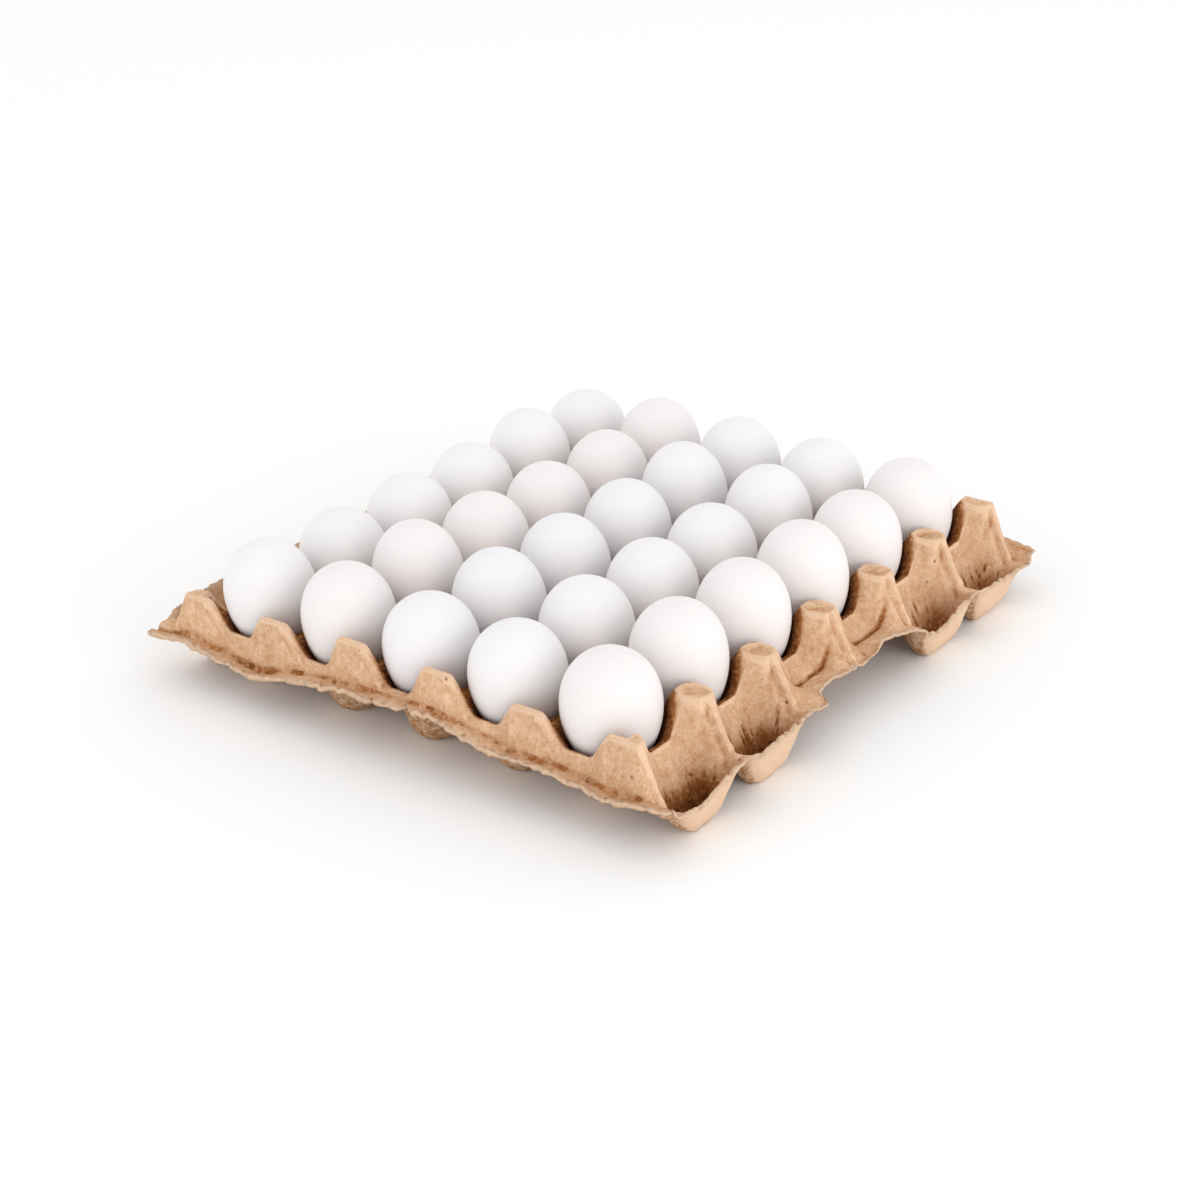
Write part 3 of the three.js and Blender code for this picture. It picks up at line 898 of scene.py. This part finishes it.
def painted_light_colour(look, colour, rim, under):
    """Painted highlights on rims and crests, pale smooth outsides partly lit by painted light, and clotted
    rough undersides darkened with painted shade
    """
    colour = look.blend(look.math("MULTIPLY", rim, RIM_HIGHLIGHT), colour, KRAFT_PALE_AND_HIGHLIGHT)
    # Painted highlight on the convex crests and beads
    crest = look.ranged(look.attribute("crease"), low=-0.25, high=-0.04, to_low=0.7, to_high=0)
    colour = look.blend(crest, colour, KRAFT_PALE_AND_HIGHLIGHT)
    # Pale lower faces and edges, partly painted light on the outer walls
    colour = look.blend(look.ranged(under, low=0, high=SMOOTH_UNDER), colour, KRAFT_PALE_AND_HIGHLIGHT)
    # Rough undersides: clotted pulp, darker as painted shade under the tray
    clots = look.patches(scale=420, detail=5, roughness=0.7, low=0.4, high=0.6)
    rough_side = look.math("MULTIPLY", look.ranged(under, low=0.5, high=ROUGH_UNDER), clots)
    return look.blend(rough_side, colour, KRAFT_ROUGH_AND_SHADE)


def painted_shade_colour(look, colour):
    """Painted shade, rust-brown turning nearly black, in the depths, beside the eggs, in folds, creases and
    pits, and the rusty tint at the walls' feet
    """
    hollow = look.ranged(look.attribute("hollow"), low=0.2, high=3, to_high=0.5)
    deep = look.math("MULTIPLY", look.attribute("deep"), DEEP_SHADE)
    fold_shade = look.math("MULTIPLY", look.attribute("fold_shade"), FOLD_SHADE)
    broad = look.math("MAXIMUM", look.math("MAXIMUM", hollow, deep), fold_shade)
    patches = look.patches(
        scale=480, detail=5, roughness=0.75, low=0.36, high=0.62, to_low=0.4, to_high=1.15
    )
    pits = look.patches(scale=420, detail=6, roughness=0.8, low=0.42, high=0.68, to_low=0.15, to_high=0.65)
    foot = look.math("MULTIPLY", look.attribute("foot"), pits)
    broken = look.patches(scale=240, detail=4, roughness=0.7, low=0.38, high=0.58, to_low=0.35)
    crease = look.ranged(look.attribute("crease"), low=0.08, high=0.5, to_high=0.7)
    narrow = look.math("MAXIMUM", look.math("MULTIPLY", crease, broken), foot)
    dark = look.math("MAXIMUM", look.math("MULTIPLY", broad, patches), narrow)
    colour = look.blend(look.ranged(dark, low=0, high=0.35), colour, KRAFT_RUST_AND_SHADE)
    return look.blend(look.ranged(dark, low=0.2, high=0.9), colour, KRAFT_DEEP_SHADE)


def specked_colour(look, colour):
    """Few dark specks, none of them on the rims"""
    cells = look.add("ShaderNodeTexVoronoi", Vector=look.place, Scale=120.0)
    dot = look.ranged(cells.outputs["Distance"], low=0.06, high=0.13, to_low=1, to_high=0)
    chosen = look.add("ShaderNodeSeparateColor", Color=cells.outputs["Color"]).outputs["Red"]
    specks = look.math("MULTIPLY", dot, look.ranged(chosen, low=0.72, high=0.76, to_high=0.9))
    off_rim = look.ranged(look.attribute("rim"), low=0.2, high=0.4, to_low=1, to_high=0)
    return look.blend(look.math("MULTIPLY", specks, off_rim), colour, SPECK)


def pulp_relief(look, rim, under):
    """Fine lumps all over, coarser on rims and undersides"""
    roughness = look.ranged(under, low=0, high=ROUGH_UNDER, to_low=0.5, to_high=2.6)
    rim_roughness = look.ranged(rim, low=0.1, high=0.8, to_low=0.5, to_high=2)
    roughness = look.math("MAXIMUM", roughness, rim_roughness)
    coarse = look.math("MULTIPLY", look.noise(scale=330, detail=5, roughness=0.7), roughness)
    fine = look.noise(scale=1100, detail=5, roughness=0.7)
    normal = look.bump(coarse, distance=0.0013, strength=1)
    return look.bump(fine, distance=0.0005, strength=0.9, under=normal)


def pulp_look():
    look = Look("kraft_pulp")
    under = look.attribute("under")
    ragged = look.patches(scale=300, low=0.25, high=0.6, to_low=0.4)
    rim = look.math("MULTIPLY", look.attribute("rim"), ragged)
    colour = painted_light_colour(look, kraft_colour(look), rim, under)
    colour = specked_colour(look, painted_shade_colour(look, colour))
    look.feed(look.shader.inputs["Base Color"], colour)
    look.feed(look.shader.inputs["Normal"], pulp_relief(look, rim, under))
    look.shader.inputs["Roughness"].default_value = PULP_ROUGHNESS
    look.shader.inputs["Specular IOR Level"].default_value = PULP_SHEEN
    return look.material


def eggshell_look(name, shell, tint):
    look = Look(name)
    clouds = look.patches(scale=28, low=0.35, high=0.7)
    look.feed(look.shader.inputs["Base Color"], look.blend(clouds, shell, tint))
    swell = look.bump(look.noise(scale=260), distance=0.0002, strength=0.25)
    pores = look.bump(look.noise(scale=1900, detail=2), distance=0.00008, strength=0.35, under=swell)
    look.feed(look.shader.inputs["Normal"], pores)
    gloss = look.patches(scale=90, detail=2, low=0.3, high=0.7, to_low=0.46, to_high=0.56)
    look.feed(look.shader.inputs["Roughness"], gloss)
    look.shader.inputs["Specular IOR Level"].default_value = SHELL_SHEEN
    return look.material


def build_floor():
    look = Look("white_floor")
    look.feed(look.shader.inputs["Base Color"], FLOOR_WHITE)
    look.shader.inputs["Roughness"].default_value = 1
    look.shader.inputs["Specular IOR Level"].default_value = 0
    corners = [
        (-FLOOR_HALF, -FLOOR_HALF, 0),
        (FLOOR_HALF, -FLOOR_HALF, 0),
        (FLOOR_HALF, FLOOR_HALF, 0),
        (-FLOOR_HALF, FLOOR_HALF, 0),
    ]
    floor = piece_from("floor", corners, [[0, 1, 2, 3]], look.material)


def add_area_light(name, place, size, watts, colour):
    light = bpy.data.lights.new(name, "AREA")
    light.shape = "DISK"
    light.size = size
    light.energy = watts
    light.color = colour
    lamp = bpy.data.objects.new(name, light)
    lamp.location = place
    lamp.rotation_euler = (-Vector(place)).to_track_quat("-Z", "Y").to_euler()
    bpy.context.scene.collection.objects.link(lamp)


def light_scene():
    world = bpy.data.worlds.new("studio")
    world.use_nodes = True
    nodes = world.node_tree.nodes
    links = world.node_tree.links
    direction = nodes.new("ShaderNodeTexCoord").outputs["Generated"]
    height = nodes.new("ShaderNodeSeparateXYZ")
    links.new(direction, height.inputs["Vector"])
    brightness = nodes.new("ShaderNodeMapRange")
    brightness.inputs["To Min"].default_value = HORIZON_STRENGTH
    brightness.inputs["To Max"].default_value = ZENITH_STRENGTH
    links.new(height.outputs["Z"], brightness.inputs["Value"])
    backdrop = nodes["Background"]
    backdrop.inputs["Color"].default_value = WHITE
    links.new(brightness.outputs["Result"], backdrop.inputs["Strength"])
    bpy.context.scene.world = world
    add_area_light("key", place=(2.2, -0.4, 0.7), size=1.4, watts=11, colour=(1, 1, 1))
    add_area_light("fill", place=(-1.3, -1.9, 0.5), size=1.4, watts=2.6, colour=(1, 0.99, 0.98))


def add_camera():
    data = bpy.data.cameras.new("camera")
    data.sensor_width = SENSOR_WIDTH
    data.lens = CAMERA_LENS
    camera = bpy.data.objects.new("camera", data)
    azimuth = Matrix.Rotation(math.radians(CAMERA_AZIMUTH), 4, "Z")
    tilt = Matrix.Rotation(math.radians(90 - CAMERA_ELEVATION), 4, "X")
    roll = Matrix.Rotation(math.radians(CAMERA_ROLL), 4, "Z")
    camera.matrix_world = Matrix.Translation(CAMERA_PLACE) @ azimuth @ tilt @ roll
    bpy.context.scene.collection.objects.link(camera)
    bpy.context.scene.camera = camera


def main():
    add_camera()
    light_scene()
    build_floor()
    build_tray(pulp_look())
    shells = [eggshell_look(name, shell, tint) for name, (shell, tint) in SHELLS.items()]
    for number in range(ROWS * COLUMNS):
        row, column = divmod(number, COLUMNS)
        shell = shells[(number * SHELL_STEP + row) % len(shells)]
        build_egg(f"egg_{row + 1}_{column + 1}", number, shell)
    bpy.context.scene.view_settings.view_transform = "Standard"


main()
